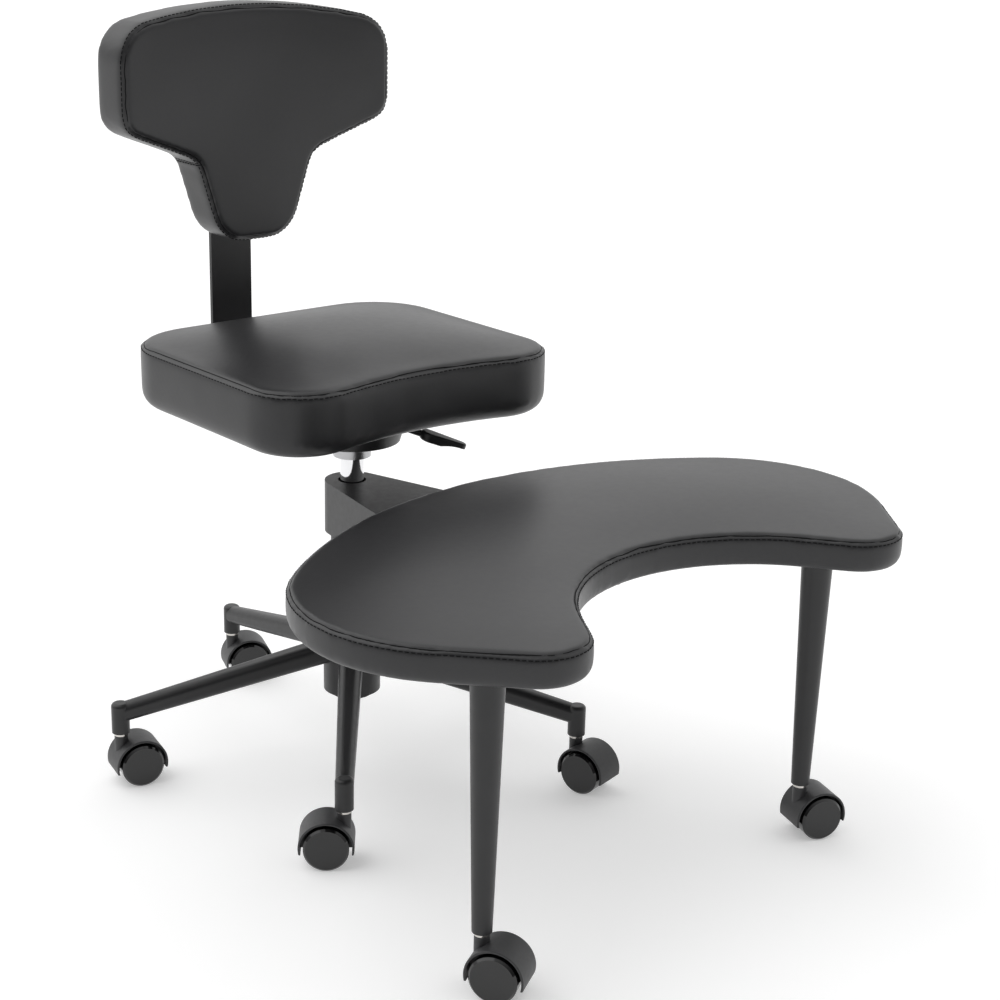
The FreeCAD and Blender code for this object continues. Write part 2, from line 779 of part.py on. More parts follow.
def lever_handle():
    """Moulded paddle on the rod's end, narrowing to a rounded tip and scooped out underneath."""
    start = lever_rod_length - handle_grip + handle_root_radius
    outline = [(start, 0, handle_root_radius), (start + handle_length, 0, handle_tip_radius)]
    paddle = slab(outline, -handle_thickness / 2, handle_thickness / 2)
    rims = edges_at(paddle, lambda p: abs(abs(p.z) - handle_thickness / 2) < 1e-4)
    paddle = paddle.makeFillet(handle_round, rims)
    scoop_z = handle_scoop_depth - handle_thickness / 2 - handle_scoop_radius
    across = at(0, 2 * handle_root_radius, 0)
    scoop_middle = at(start + handle_length, 0, scoop_z)
    paddle = paddle.cut(rod(handle_scoop_radius, scoop_middle - across, scoop_middle + across))
    return sloped(paddle.cut(rod(lever_rod_radius, ORIGIN, at(lever_rod_length, 0, 0))))


def arm_outline(radius, reach):
    """A round end about the column with straight sides that spread towards the platform."""
    spread = math.radians(strap_half_angle)
    half = (radius + reach * math.sin(spread)) / math.cos(spread)
    return [(0, 0, radius), (-half, -reach, 0), (half, -reach, 0)]


def arm_strap():
    """Flat steel bent round the column end and spread out under the platform."""
    low = platform_underside - strap_height
    outer = slab(arm_outline(strap_radius, strap_reach), low, platform_underside)
    inner = slab(arm_outline(strap_bore, 2 * strap_reach), low, platform_underside)
    return outer.cut(inner)


def arm_screw_places():
    """Where the arm's top plate is screwed to the platform's board."""
    places = []
    for reach in arm_screw_rows:
        spread = math.radians(strap_half_angle)
        half = (strap_bore + reach * math.sin(spread)) / math.cos(spread) - arm_screw_edge
        places += [at(-half, -reach), at(half, -reach)]
    return places


def leg_screw_places():
    """Where the legs' plates are screwed to the platform's board."""
    turns = [math.radians(45 + index * 360 / leg_screw_count) for index in range(leg_screw_count)]
    steps = [at(leg_screw_circle * math.cos(turn), leg_screw_circle * math.sin(turn)) for turn in turns]
    return [foot + step for foot in platform_leg_feet() for step in steps]


def arm_top_plate():
    """Flat plate let into the strap, with a hole for the lift."""
    plate = slab(arm_outline(strap_bore, strap_reach), plate_bottom, platform_underside)
    plate = plate.cut(rod(plate_hole_radius, at(0, 0, plate_bottom), at(0, 0, platform_underside)))
    for place in arm_screw_places():
        plate = plate.cut(rod(screw_radius, place + UP * plate_bottom, place + UP * platform_underside))
    return plate


def arm_bushes():
    """Plain bush at the sleeve's foot and a flanged one at its top, whose flange rides on the column."""
    foot = platform_underside - strap_height
    lower = ring(sleeve_bore, bush_bore, foot, foot + bush_length)
    upper = turned([
        (bush_bore, column_top - bush_length), (sleeve_bore, column_top - bush_length),
        (sleeve_bore, plate_bottom),
        (plate_hole_radius, plate_bottom), (plate_hole_radius, column_top), (bush_bore, column_top),
    ])
    return Part.makeCompound([lower, upper])


def platform_circles():
    """Circles of the crescent's outline: a broad back, round sides, two tips and the bay between them."""
    side_x = platform_half_width - platform_side_radius
    run = platform_side_ahead - platform_back
    back = (run ** 2 + side_x ** 2 - platform_side_radius ** 2) / (2 * (run - platform_side_radius))
    left = [
        (-side_x, -platform_side_ahead, platform_side_radius),
        (-platform_tip_apart, -platform_tip_ahead, platform_tip_radius),
    ]
    bay = (0, -platform_bay_ahead - platform_bay_radius, -platform_bay_radius)
    return mirrored_belt([(0, -platform_back - back, back)], left, [bay])


def platform_board():
    """Plywood board of the platform, drilled for the screws of its arm and legs."""
    top = platform_underside + platform_board_thickness
    board = slab(inset(platform_circles(), board_inset), platform_underside, top)
    for place in arm_screw_places() + leg_screw_places():
        end = platform_underside + screw_bite
        board = board.cut(rod(screw_radius, place + UP * platform_underside, place + UP * end))
    return board


def platform_leg(foot):
    """Tapered tube with a socket for the caster's stem below and a screwed plate above."""
    plate_low = platform_underside - leg_plate_thickness
    stem_end = socket_bottom + stem_length
    leg = turned([
        (0, socket_bottom), (leg_foot_radius, socket_bottom), (leg_top_radius, plate_low),
        (leg_plate_radius, plate_low), (leg_plate_radius, platform_underside),
        (leg_plate_hole, platform_underside),
        (leg_plate_hole, plate_low), (leg_top_radius - leg_wall, plate_low),
        (leg_foot_radius - leg_wall, stem_end + leg_wall), (0, stem_end + leg_wall),
    ])
    leg = leg.cut(rod(stem_radius, at(0, 0, socket_bottom), at(0, 0, stem_end)))
    leg.translate(foot)
    for place in leg_screw_places():
        leg = leg.cut(rod(screw_radius, place + UP * plate_low, place + UP * platform_underside))
    return leg


def screw(place, under_head):
    """Wood screw, driven up into the platform's board."""
    end = platform_underside + screw_bite
    return fastener(place, under_head, end, screw_radius, screw_head_radius, screw_head_height)


def platform_screws():
    """Screws of the swing arm and of both leg plates."""
    arm = [screw(place, plate_bottom) for place in arm_screw_places()]
    legs = [screw(place, platform_underside - leg_plate_thickness) for place in leg_screw_places()]
    return Part.makeCompound(arm + legs)


def base_nodes():
    """The base, the fixed half of the gas lift and the rod that the seat turns on."""
    stems = [placed_caster(caster_stem(), stem, trail) for stem, trail in caster_places()[:arm_count]]
    floor_top = column_bottom + column_floor
    collar_top = bearing_top + rod_collar_height
    return {
        "star_base": star_base(),
        "base_caster_stems": Part.makeCompound(stems),
        "column_tube": column_tube(),
        "guide_bush": ring(
            column_bore, lift_radius + running_clearance, column_top - guide_length, column_top
        ),
        "thrust_bearing": ring(bearing_radius, rod_tail_radius + running_clearance, floor_top, bearing_top),
        "piston_rod": piston_rod(),
        "piston_head": ring(
            lift_radius - lift_wall - running_clearance, rod_tail_radius,
            piston_bottom, piston_bottom + piston_height,
        ),
        "rubber_buffer": ring(buffer_radius, rod_radius, collar_top, buffer_top),
        "retaining_clip": retaining_clip(),
    }


def seat_nodes():
    """Everything that rises and turns with the seat."""
    return {
        "pressure_tube": pressure_tube(),
        "taper_socket": taper_socket(),
        "seat_plate": seat_plate(),
        "seat_bolts": seat_bolts(),
        "seat_board": seat_board(),
        "seat_cushion": upholstered(
            seat_circles(), seat_underside, seat_top, seat_top_round, seat_bottom_round, seat_board_thickness
        ),
        "back_bar": back_bar(),
        "back_bar_bolts": back_bar_bolts(),
        "backrest_board": backrest_board(),
        "backrest_cushion": backrest_cushion(),
        "lever_rod": lever_rod(),
        "lever_handle": lever_handle(),
        "valve_pin": rod(valve_radius, at(0, 0, lift_top - valve_depth), at(0, 0, valve_top)),
    }


def platform_nodes():
    """The crescent platform with its swing arm and legs, at the angle where it stands."""
    left_foot, right_foot = platform_leg_feet()
    straight = {
        "arm_strap": arm_strap(),
        "arm_top_plate": arm_top_plate(),
        "arm_sleeve": ring(strap_bore, sleeve_bore, platform_underside - strap_height, plate_bottom),
        "arm_bushes": arm_bushes(),
        "platform_board": platform_board(),
        "platform_cushion": upholstered(
            platform_circles(), platform_underside, platform_top,
            platform_top_round, platform_bottom_round, platform_board_thickness,
        ),
        "platform_leg_left": platform_leg(left_foot),
        "platform_leg_right": platform_leg(right_foot),
        "platform_screws": platform_screws(),
    }
    nodes = {name: swung(shape) for name, shape in straight.items()}
    stems = [placed_caster(caster_stem(), stem, trail) for stem, trail in caster_places()[arm_count:]]
    nodes["platform_caster_stems"] = Part.makeCompound(stems)
    return nodes


def caster_nodes():
    """Hood, axle and two wheels of every caster."""
    pieces = {
        "hood": caster_hood(),
        "axle": caster_axle(),
        "wheel_left": caster_wheel(1),
        "wheel_right": caster_wheel(-1),
    }
    nodes = {}
    for number, (stem, trail) in enumerate(caster_places(), 1):
        for name, shape in pieces.items():
            nodes[f"caster_{number}_{name}"] = placed_caster(shape, stem, trail)
    return nodes


def main():
    """Writes one STEP file for each piece."""
    os.makedirs("parts", exist_ok=True)
    nodes = {**base_nodes(), **seat_nodes(), **platform_nodes(), **caster_nodes()}
    for name, shape in nodes.items():
        shape.exportStep(f"parts/{name}.step")


main()
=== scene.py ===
"""Cross-legged office chair: cushions, seams, fasteners and finishes on the CAD frame, with a studio.

Lengths are in metres. Each cushion is shaped lying flat, with its sewn face up, and then put in its place.
"""

import json
import math

import bmesh
import bpy
from bpy.props import FloatProperty, FloatVectorProperty, IntProperty, PointerProperty
from mathutils import Matrix, Vector
from mathutils.bvhtree import BVHTree
from mathutils.kdtree import KDTree


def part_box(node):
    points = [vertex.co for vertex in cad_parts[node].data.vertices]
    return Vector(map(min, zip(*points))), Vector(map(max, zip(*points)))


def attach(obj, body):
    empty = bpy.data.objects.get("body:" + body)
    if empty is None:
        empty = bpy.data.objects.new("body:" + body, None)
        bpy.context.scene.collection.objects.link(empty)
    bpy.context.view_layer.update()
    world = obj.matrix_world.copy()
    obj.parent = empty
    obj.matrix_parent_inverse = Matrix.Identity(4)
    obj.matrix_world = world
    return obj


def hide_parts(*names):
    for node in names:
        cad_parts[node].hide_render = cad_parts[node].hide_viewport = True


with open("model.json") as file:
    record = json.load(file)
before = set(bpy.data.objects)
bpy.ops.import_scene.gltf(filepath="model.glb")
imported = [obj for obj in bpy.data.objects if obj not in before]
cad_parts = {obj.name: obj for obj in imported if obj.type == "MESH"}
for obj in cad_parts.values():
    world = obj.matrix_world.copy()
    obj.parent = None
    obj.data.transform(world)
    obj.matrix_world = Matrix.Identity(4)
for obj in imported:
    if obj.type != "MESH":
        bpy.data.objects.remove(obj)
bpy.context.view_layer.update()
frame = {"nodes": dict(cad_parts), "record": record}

bl_info = {
    "name": "Cross-legged office chair",
    "version": (1, 0, 0),
    "blender": (4, 5, 0),
    "location": "View3D > Sidebar > Chair",
    "description": "Cushions, seams, fasteners, finishes and studio of a cross-legged office chair",
    "category": "Object",
}

NODES = frame["nodes"]
UP = Vector((0, 0, 1))


def length(name, description, default, **more):
    """A length that a user may change."""
    return FloatProperty(
        name=name, description=description, default=default, unit="LENGTH", precision=4, **more,
    )


def colour(name, description, default):
    """A colour that a user may change."""
    return FloatVectorProperty(
        name=name, description=description, default=default, subtype="COLOR", min=0, max=1,
    )


class CushionSettings(bpy.types.PropertyGroup):
    """Shape of the three cushions and of their sewing."""

    voxel: length("Voxel", "Mesh size that the cushions are sewn up at", 0.005)
    pressure: FloatProperty(name="Pressure", description="Push of the foam against its cover", default=4.0)
    cover_mass: FloatProperty(
        name="Cover mass", description="Mass of a corner of the cover", default=0.0002, unit="MASS",
        precision=5,
    )
    cover_stiffness: FloatProperty(
        name="Cover stiffness", description="Pull of a stretched cover", default=0.8,
    )
    cover_bending: FloatProperty(
        name="Cover bending", description="Resistance of the cover to creases", default=20.0,
    )
    band_swell: length("Band swell", "Swell of a cushion's sides and lower edge", 0.004)
    frames: IntProperty(name="Frames", description="Steps that the foam has to settle", default=20, min=2)
    evening: IntProperty(name="Evening", description="Passes that take creases out", default=14, min=0)
    smoothing: IntProperty(name="Smoothing", description="Passes that even out the cover", default=5, min=0)
    seat_seam: length("Seat seam", "Depth of the seat's seam under the top of its solid", 0.0115)
    seat_crown: length("Seat crown", "Rise of the seat's middle over its seam", 0.0165)
    rest_seam: length("Back rest seam", "Depth of the back rest's seam under its front face", 0.008)
    rest_crown: length("Back rest crown", "Swell of the back rest's front over its seam", 0.009)
    rest_radius: length("Back rest radius", "Radius of the back rest's rear face in plan", 1.14)
    platform_seam: length("Platform seam", "Depth of the platform's seam under the top of its solid", 0.0050)
    platform_crown: length("Platform crown", "Rise of the platform's middle over its seam", 0.0060)
    seam_depth: length("Seam depth", "Depth of the furrow along a seam", 0.0016)
    seam_width: length("Seam width", "Half width of the furrow along a seam", 0.0024)
    # The closed edge is a cord in the near-black thread colour laid in each seam's furrow. Its rounded shape is
    # the seam's edge, and its dark colour is painted shade of the seam's crease.
    seam_shade_cord_radius: length("Seam thickness", "Radius of the closed edge inside the furrow", 0.0005)
    straightening: IntProperty(
        name="Straightening", description="Neighbours that even out a seam", default=5, min=0,
    )
    stitch_offset: length("Stitch offset", "From a seam to the row of stitches beside it", 0.0055)
    stitch_length: length("Stitch length", "Visible length of a stitch", 0.0040)
    stitch_gap: length("Stitch gap", "Gap between two stitches", 0.0018)
    stitch_radius: length("Stitch radius", "Half the thickness of the thread", 0.0006)
    rest_cross_seam: FloatVectorProperty(
        name="Cross seam", description="Place of the seams across the back rest's band, sideways and up",
        default=(0.084, 0.698), size=2, unit="LENGTH",
    )
    bolt_head: length("Bolt head", "Height of a bolt's head", 0.0046)
    bolt_shank: length("Bolt shank", "Radius of a bolt's shank", 0.004)
    screw_head: length("Screw head", "Height of a screw's head", 0.0032)
    screw_shank: length("Screw shank", "Radius of a screw's shank", 0.003)


class FinishSettings(bpy.types.PropertyGroup):
    """Colours of the surfaces."""

    leather: colour("Cover", "Smooth coated fabric of the cushions", (0.019, 0.019, 0.0205))
    thread: colour("Thread", "Sewing thread", (0.003, 0.003, 0.0033))
    coat: colour("Powder coat", "Satin coat of the steel pieces", (0.018, 0.018, 0.019))
    casting: colour("Base coat", "Satin coat of the cast base", (0.016, 0.016, 0.017))
    hood: colour("Hood plastic", "Moulded hoods of the casters", (0.038, 0.038, 0.040))
    wheel: colour("Wheel plastic", "Glossy wheels", (0.005, 0.005, 0.0055))
    handle: colour("Handle plastic", "Grained handle of the lever", (0.014, 0.014, 0.015))
    chrome: colour("Chrome", "Plating of the lift tube", (0.80, 0.80, 0.81))
    nickel: colour("Nickel", "Plating of the caster stems", (0.62, 0.60, 0.57))
    steel: colour("Steel", "Ground steel", (0.47, 0.47, 0.48))
    zinc: colour("Zinc", "Plating of bolts and screws", (0.56, 0.56, 0.55))
    plywood: colour("Plywood", "Black-stained face of the boards", (0.040, 0.036, 0.033))
    nylon: colour("Nylon", "Bushes of the swing arm and the lift", (0.70, 0.68, 0.62))
    rubber: colour("Rubber", "Buffer of the lift", (0.022, 0.022, 0.022))


class StudioSettings(bpy.types.PropertyGroup):
    """Camera, floor and light."""

    camera_place: FloatVectorProperty(
        name="Camera place", description="Where the camera stands", default=(-1.3104, -1.7838, 1.0541),
        subtype="TRANSLATION", unit="LENGTH",
    )
    camera_heading: FloatProperty(
        name="Camera heading", description="From +Y towards +X", default=math.radians(40.8), subtype="ANGLE",
    )
    camera_dip: FloatProperty(
        name="Camera dip", description="How far the camera looks down", default=math.radians(18.24),
        subtype="ANGLE",
    )
    camera_roll: FloatProperty(
        name="Camera roll", description="Tilt of the frame", default=0.0248, subtype="ANGLE",
    )
    lens: FloatProperty(name="Lens", description="Focal length in millimetres", default=71.3)
    floor_radius: length("Floor radius", "Radius of the floor", 40.0)
    floor: colour("Floor colour", "Pale floor", (0.86, 0.86, 0.86))
    sun: FloatProperty(name="Sun", description="Strength of the soft key light", default=0.85)
    sky_back: FloatProperty(name="Back light", description="Brightness of the backdrop", default=1.0)
    sky_front: FloatProperty(name="Front light", description="Brightness behind the camera", default=0.12)


def settings():
    """The three groups of settings."""
    scene = bpy.context.scene
    return scene.chair_cushions, scene.chair_finishes, scene.chair_studio


def node_mesh(name):
    """The mesh of a CAD node with its loose triangles joined."""
    bm = bmesh.new()
    bm.from_mesh(NODES[name].data)
    bmesh.ops.remove_doubles(bm, verts=bm.verts, dist=1e-5)
    return bm


def new_object(name, bm):
    """A linked object from a bmesh."""
    mesh = bpy.data.meshes.new(name)
    bm.to_mesh(mesh)
    bm.free()
    piece = bpy.data.objects.new(name, mesh)
    bpy.context.collection.objects.link(piece)
    return piece


def bake_modifiers(piece):
    """Gives a piece its modifiers' result as its mesh and removes them."""
    graph = bpy.context.evaluated_depsgraph_get()
    old = piece.data
    result = bpy.data.meshes.new_from_object(piece.evaluated_get(graph))
    piece.modifiers.clear()
    piece.data = result
    bpy.data.meshes.remove(old)


def finish_piece(piece, body, material, replaced=()):
    """Gives a piece its body, its finish as its one material, and smooth faces."""
    piece.data.materials.clear()
    piece.data.materials.append(material)
    piece.data.shade_smooth()
    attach(piece, body)
    if replaced:
        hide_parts(*replaced)
    return piece


class Place:
    """How a cushion that is shaped lying flat stands on the chair; this one lies as it is."""

    def lay(self, point):
        return point.copy()

    def stand(self, point):
        return point.copy()


class CurvedPlace(Place):
    """A place that is bent round an upright axis, with the hollow face up when it is laid flat."""

    def __init__(self, rear_y, radius):
        self.radius = radius
        self.axis_y = rear_y - radius

    def lay(self, point):
        reach = Vector((point.x, point.y - self.axis_y))
        return Vector((math.atan2(reach.x, reach.y) * self.radius, point.z, self.radius - reach.length))

    def stand(self, point):
        turn = point.x / self.radius
        reach = self.radius - point.z
        return Vector((reach * math.sin(turn), self.axis_y + reach * math.cos(turn), point.y))


def laid_mesh(node, place):
    """A CAD cushion, laid flat."""
    bm = node_mesh(node)
    for vert in bm.verts:
        vert.co = place.lay(vert.co)
    return bm


def cut_level(bm, height):
    """Cuts off what lies above a height and returns the edges of the cut."""
    geometry = bm.verts[:] + bm.edges[:] + bm.faces[:]
    cut = bmesh.ops.bisect_plane(bm, geom=geometry, plane_co=UP * height, plane_no=UP, clear_outer=True)
    return [item for item in cut["geom_cut"] if isinstance(item, bmesh.types.BMEdge)]


def loop_points(edges):
    """The corners of the longest closed loop of edges, in order."""
    left = dict.fromkeys(edges)
    loops = []
    while left:
        edge = next(iter(left))
        del left[edge]
        first, vert = edge.verts
        points = [first.co.copy()]
        while vert is not first:
            points.append(vert.co.copy())
            edge = next(other for other in vert.link_edges if other in left)
            del left[edge]
            vert = edge.other_vert(vert)
        loops.append(points)
    return max(loops, key=len)


def outline_at(node, place, height):
    """Outline of a laid cushion at a height."""
    bm = laid_mesh(node, place)
    points = loop_points(cut_level(bm, height))
    bm.free()
    return points


def spaced(points, pitch, closed=True):
    """Points an even pitch apart along a line, each with its direction."""
    ends = points[1:] + points[:1] if closed else points[1:]
    runs = [(start, end - start) for start, end in zip(points, ends) if (end - start).length > 1e-9]
    total = sum(run.length for _, run in runs)
    count = max(1, round(total / pitch))
    result = []
    travelled = 0.0
    step = 0
    for start, run in runs:
        while step < count and (step + 0.5) * total / count <= travelled + run.length:
            along = ((step + 0.5) * total / count - travelled) / run.length
            result.append((start + run * along, run.normalized()))
            step += 1
        travelled += run.length
    return result


def tree_of(points):
    """A search tree over points."""
    tree = KDTree(len(points))
    for index, point in enumerate(points):
        tree.insert(point, index)
    tree.balance()
    return tree


def foam_shape(name, node, board, place, seam_height, crown):
    """A laid cushion: its solid cut off level at the seam, sewn up and blown out by its foam."""
    cushions = settings()[0]
    bm = laid_mesh(node, place)
    rim = cut_level(bm, seam_height)
    seam = loop_points(rim)
    bmesh.ops.triangle_fill(bm, use_beauty=True, edges=rim, normal=UP)
    bmesh.ops.recalc_face_normals(bm, faces=bm.faces)
    pad = new_object(name, bm)
    sewing = pad.modifiers.new("Sewing", "REMESH")
    sewing.mode = "VOXEL"
    sewing.voxel_size = cushions.voxel
    easing = pad.modifiers.new("Easing", "SMOOTH")
    easing.factor = 0.5
    easing.iterations = cushions.smoothing
    bake_modifiers(pad)
    hard = laid_mesh(board, place)
    swell(pad, seam, hard, crown)
    hard.free()
    rounding = pad.modifiers.new("Rounding", "SUBSURF")
    rounding.levels = rounding.render_levels = 1
    bake_modifiers(pad)
    return pad, seam


def evened(pad, moved, passes):
    """The movement of a cover's corners with its creases taken out; what is held stays."""
    beside = [[] for _ in moved]
    for edge in pad.data.edges:
        first, second = edge.vertices
        beside[first].append(second)
        beside[second].append(first)
    loose = [i for i, way in enumerate(moved) if way.length > 1e-6]
    for _ in range(passes):
        mean = {i: sum((moved[j] for j in beside[i]), Vector()) / len(beside[i]) for i in loose}
        for i, way in mean.items():
            moved[i] = way
    return moved


def swell(pad, seam, board, crown):
    """Lets the foam blow out a cover that its seam and its board hold, up to its crown and band swell."""
    cushions = settings()[0]
    scene = bpy.context.scene
    sewn = tree_of([point for point, _ in spaced(seam, cushions.voxel / 4)])
    hard = BVHTree.FromBMesh(board)
    before = [vert.co.copy() for vert in pad.data.vertices]
    near_seam = [sewn.find(co)[2] < cushions.voxel for co in before]
    near_board = [hard.find_nearest(co)[3] < cushions.voxel for co in before]
    held = pad.vertex_groups.new(name="held")
    held.add([i for i, pair in enumerate(zip(near_seam, near_board)) if any(pair)], 1.0, "REPLACE")
    cloth = pad.modifiers.new("Foam", "CLOTH")
    cloth.settings.mass = cushions.cover_mass
    cloth.settings.tension_stiffness = cushions.cover_stiffness
    cloth.settings.bending_stiffness = cushions.cover_bending
    cloth.settings.vertex_group_mass = held.name
    cloth.settings.use_pressure = True
    cloth.settings.uniform_pressure_force = cushions.pressure
    cloth.settings.effector_weights.gravity = 0
    cloth.point_cache.frame_start = 1
    cloth.point_cache.frame_end = cushions.frames
    for number in range(1, cushions.frames + 1):
        scene.frame_set(number)
    bake_modifiers(pad)
    scene.frame_set(1)
    pad.vertex_groups.clear()
    moved = [vert.co - co for vert, co in zip(pad.data.vertices, before)]
    height = seam[0].z - cushions.voxel / 2
    top = [co.z > height for co in before]
    moved = evened(pad, moved, cushions.evening)
    for above, most in ((True, crown), (False, cushions.band_swell)):
        part = [i for i, high in enumerate(top) if high == above]
        share = min(1.0, most / max(moved[i].length for i in part))
        for i in part:
            pad.data.vertices[i].co = before[i] + moved[i] * share


def surface_of(pad):
    """Search tree over the faces of a laid cushion."""
    bm = bmesh.new()
    bm.from_mesh(pad.data)
    surface = BVHTree.FromBMesh(bm)
    bm.free()
    return surface


def furrow(pad, lines, depth, width):
    """Presses furrows into a laid cushion along lines of points."""
    tree = tree_of([point for line in lines for point in line])
    facing = [vert.normal.copy() for vert in pad.data.vertices]
    for vert, normal in zip(pad.data.vertices, facing):
        far = tree.find(vert.co)[2]
        if far < 3 * width:
            vert.co -= normal * depth * math.exp(-(far / width) ** 2)
    pad.data.update()


def on_surface(surface, points):
    """The nearest places on a surface, with its direction there."""
    found = [surface.find_nearest(point) for point in points]
    return [(place, normal) for place, normal, _, _ in found]


def straightened(points, reach):
    """A closed line whose points are the means of their neighbours on both sides."""
    count = 2 * reach + 1
    return [sum((points[(i + k) % len(points)] for k in range(-reach, reach + 1)), Vector()) / count
            for i in range(len(points))]


def stitch_row(surface, line, closed):
    """The stitches along a line on a laid cushion, each as the points of a short thread with sunk ends."""
    cushions = settings()[0]
    half = cushions.stitch_length / 2
    sunk = -1.5 * cushions.stitch_radius
    raised = 0.3 * cushions.stitch_radius
    level_share = 0.7
    row = []
    for middle, along in spaced(line, cushions.stitch_length + cushions.stitch_gap, closed):
        spot, normal, _, _ = surface.find_nearest(middle)
        ahead = (along - normal * along.dot(normal)).normalized() * half
        lift = normal * raised
        sink = normal * sunk
        level = ahead * level_share
        row.append([spot - ahead + sink, spot - level + lift, spot + level + lift, spot + ahead + sink])
    return row


def cord(name, lines, radius, closed):
    """Round cords along lines of points."""
    curve = bpy.data.curves.new(name, "CURVE")
    curve.dimensions = "3D"
    curve.bevel_depth = radius
    curve.bevel_resolution = 1
    curve.use_fill_caps = True
    for points in lines:
        spline = curve.splines.new("POLY")
        spline.points.add(len(points) - 1)
        for knot, point in zip(spline.points, points):
            knot.co = (*point, 1)
        spline.use_cyclic_u = closed
    shape = bpy.data.objects.new(name, curve)
    bpy.context.collection.objects.link(shape)
    graph = bpy.context.evaluated_depsgraph_get()
    bm = bmesh.new()
    bm.from_mesh(shape.evaluated_get(graph).to_mesh())
    bpy.data.objects.remove(shape)
    bpy.data.curves.remove(curve)
    bmesh.ops.remove_doubles(bm, verts=bm.verts, dist=1e-7)
    bmesh.ops.recalc_face_normals(bm, faces=bm.faces)
    return new_object(name, bm)


def laid_top(node, place):
    """Height of the highest point of a laid CAD node."""
    bm = laid_mesh(node, place)
    top = max(vert.co.z for vert in bm.verts)
    bm.free()
    return top


def cushion(name, node, board, body, place, seam_depth, crown, cross_seams=()):
    """One sewn cushion with its seam furrow, a dark cord of painted shade along the seam, its stitches and any
    seams across its band.
    """
    cushions = settings()[0]
    seam_height = laid_top(node, place) - seam_depth
    pad, seam = foam_shape(name, node, board, place, seam_height, crown)
    stitches = outline_at(node, place, seam_height - cushions.stitch_offset)
    lines = [(seam, True)] + [(line, False) for line in cross_seams]
    fine = cushions.seam_width / 3
    pressed = [[point for point, _ in spaced(line, fine, closed)] for line, closed in lines]
    surface = surface_of(pad)
    pressed = [[spot for spot, _ in on_surface(surface, line)] for line in pressed]
    furrow(pad, pressed, cushions.seam_depth, cushions.seam_width)
    surface = surface_of(pad)
    steps = [point for point, _ in spaced(seam, cushions.seam_width)]
    seam_shade_cord_path = [spot for spot, _ in on_surface(surface, steps)]
    seam_shade_cord_path = straightened(seam_shade_cord_path, cushions.straightening)
    rows = stitch_row(surface, stitches, True)
    for line in cross_seams:
        for side in (-0.5, 0.5):
            step = Vector((0, cushions.stitch_offset * side, 0))
            rows += stitch_row(surface, [point + step for point in line], False)
    for vert in pad.data.vertices:
        vert.co = place.stand(vert.co)
    pad.data.update()
    finish_piece(pad, body, leather(), [node])
    standing = [[place.stand(point) for point in line] for line in rows]
    # Cord along the seam: its shape is the seam's closed edge, and its near-black thread colour is painted shade
    # in the seam's crease.
    edge = cord(f"{name}_seam", [[place.stand(point) for point in seam_shade_cord_path]], cushions.seam_shade_cord_radius, True)
    finish_piece(edge, body, sewing_thread())
    thread = cord(f"{name}_stitches", standing, cushions.stitch_radius, False)
    finish_piece(thread, body, sewing_thread())


def node_islands(name):
    """The lowest and highest corner of each solid in a CAD node."""
    bm = node_mesh(name)
    left = set(bm.verts)
    boxes = []
    while left:
        group = [left.pop()]
        for vert in group:
            for edge in vert.link_edges:
                other = edge.other_vert(vert)
                if other in left:
                    left.remove(other)
                    group.append(other)
        low = Vector([min(vert.co[axis] for vert in group) for axis in range(3)])
        high = Vector([max(vert.co[axis] for vert in group) for axis in range(3)])
        boxes.append((low, high))
    bm.free()
    return sorted(boxes, key=lambda corners: tuple(corners[0]))


def threaded_bolt(bm, low, high, head_height, shank_radius, recess, sides):
    """A bolt that fills a box lengthways: a crowned head with a recess of that many sides, and a shank.

    An upright bolt has its head below, and a level one has it behind.
    """
    size = high - low
    upright = size.z > size.y
    total = size.z if upright else size.y
    head_radius = size.x / 2
    recess_radius = recess * head_radius
    crown = head_height / 3
    profile = [
        (recess_radius, 0), (head_radius * 0.74, 0), (head_radius * 0.93, crown), (head_radius, 2 * crown),
        (head_radius, head_height), (shank_radius, head_height), (shank_radius, total), (0, total),
    ]
    verts = [bm.verts.new((radius, 0, height)) for radius, height in profile]
    edges = [bm.edges.new(pair) for pair in zip(verts, verts[1:])]
    known = set(bm.verts) - set(verts)
    bmesh.ops.spin(
        bm, geom=verts + edges, cent=(0, 0, 0), axis=UP, angle=2 * math.pi, steps=4 * sides, use_merge=True,
    )
    made = [vert for vert in bm.verts if vert not in known]
    bmesh.ops.remove_doubles(bm, verts=made, dist=1e-6)
    made = [vert for vert in bm.verts if vert not in known]
    rim = [edge for edge in dict.fromkeys(edge for vert in made for edge in vert.link_edges) if edge.is_boundary]
    sector = 2 * math.pi / sides
    for vert in {vert for edge in rim for vert in edge.verts}:
        turn = (math.atan2(vert.co.y, vert.co.x) + sector / 2) % sector - sector / 2
        flat = recess_radius * math.cos(sector / 2) / math.cos(turn)
        vert.co.xy = vert.co.xy.normalized() * flat
    wall = bmesh.ops.extrude_edge_only(bm, edges=rim)["geom"]
    floor = [item for item in wall if isinstance(item, bmesh.types.BMVert)]
    bmesh.ops.translate(bm, verts=floor, vec=UP * head_height * 0.6)
    inner = [item for item in wall if isinstance(item, bmesh.types.BMEdge)]
    inner = [edge for edge in inner if all(vert in floor for vert in edge.verts)]
    bmesh.ops.contextual_create(bm, geom=floor + inner)
    made = [vert for vert in bm.verts if vert not in known]
    middle = (low + high) / 2
    if upright:
        where = Matrix.Translation((middle.x, middle.y, low.z))
    else:
        where = Matrix.Translation((middle.x, high.y, middle.z)) @ Matrix.Rotation(math.pi / 2, 4, "X")
    bmesh.ops.transform(bm, matrix=where, verts=made)


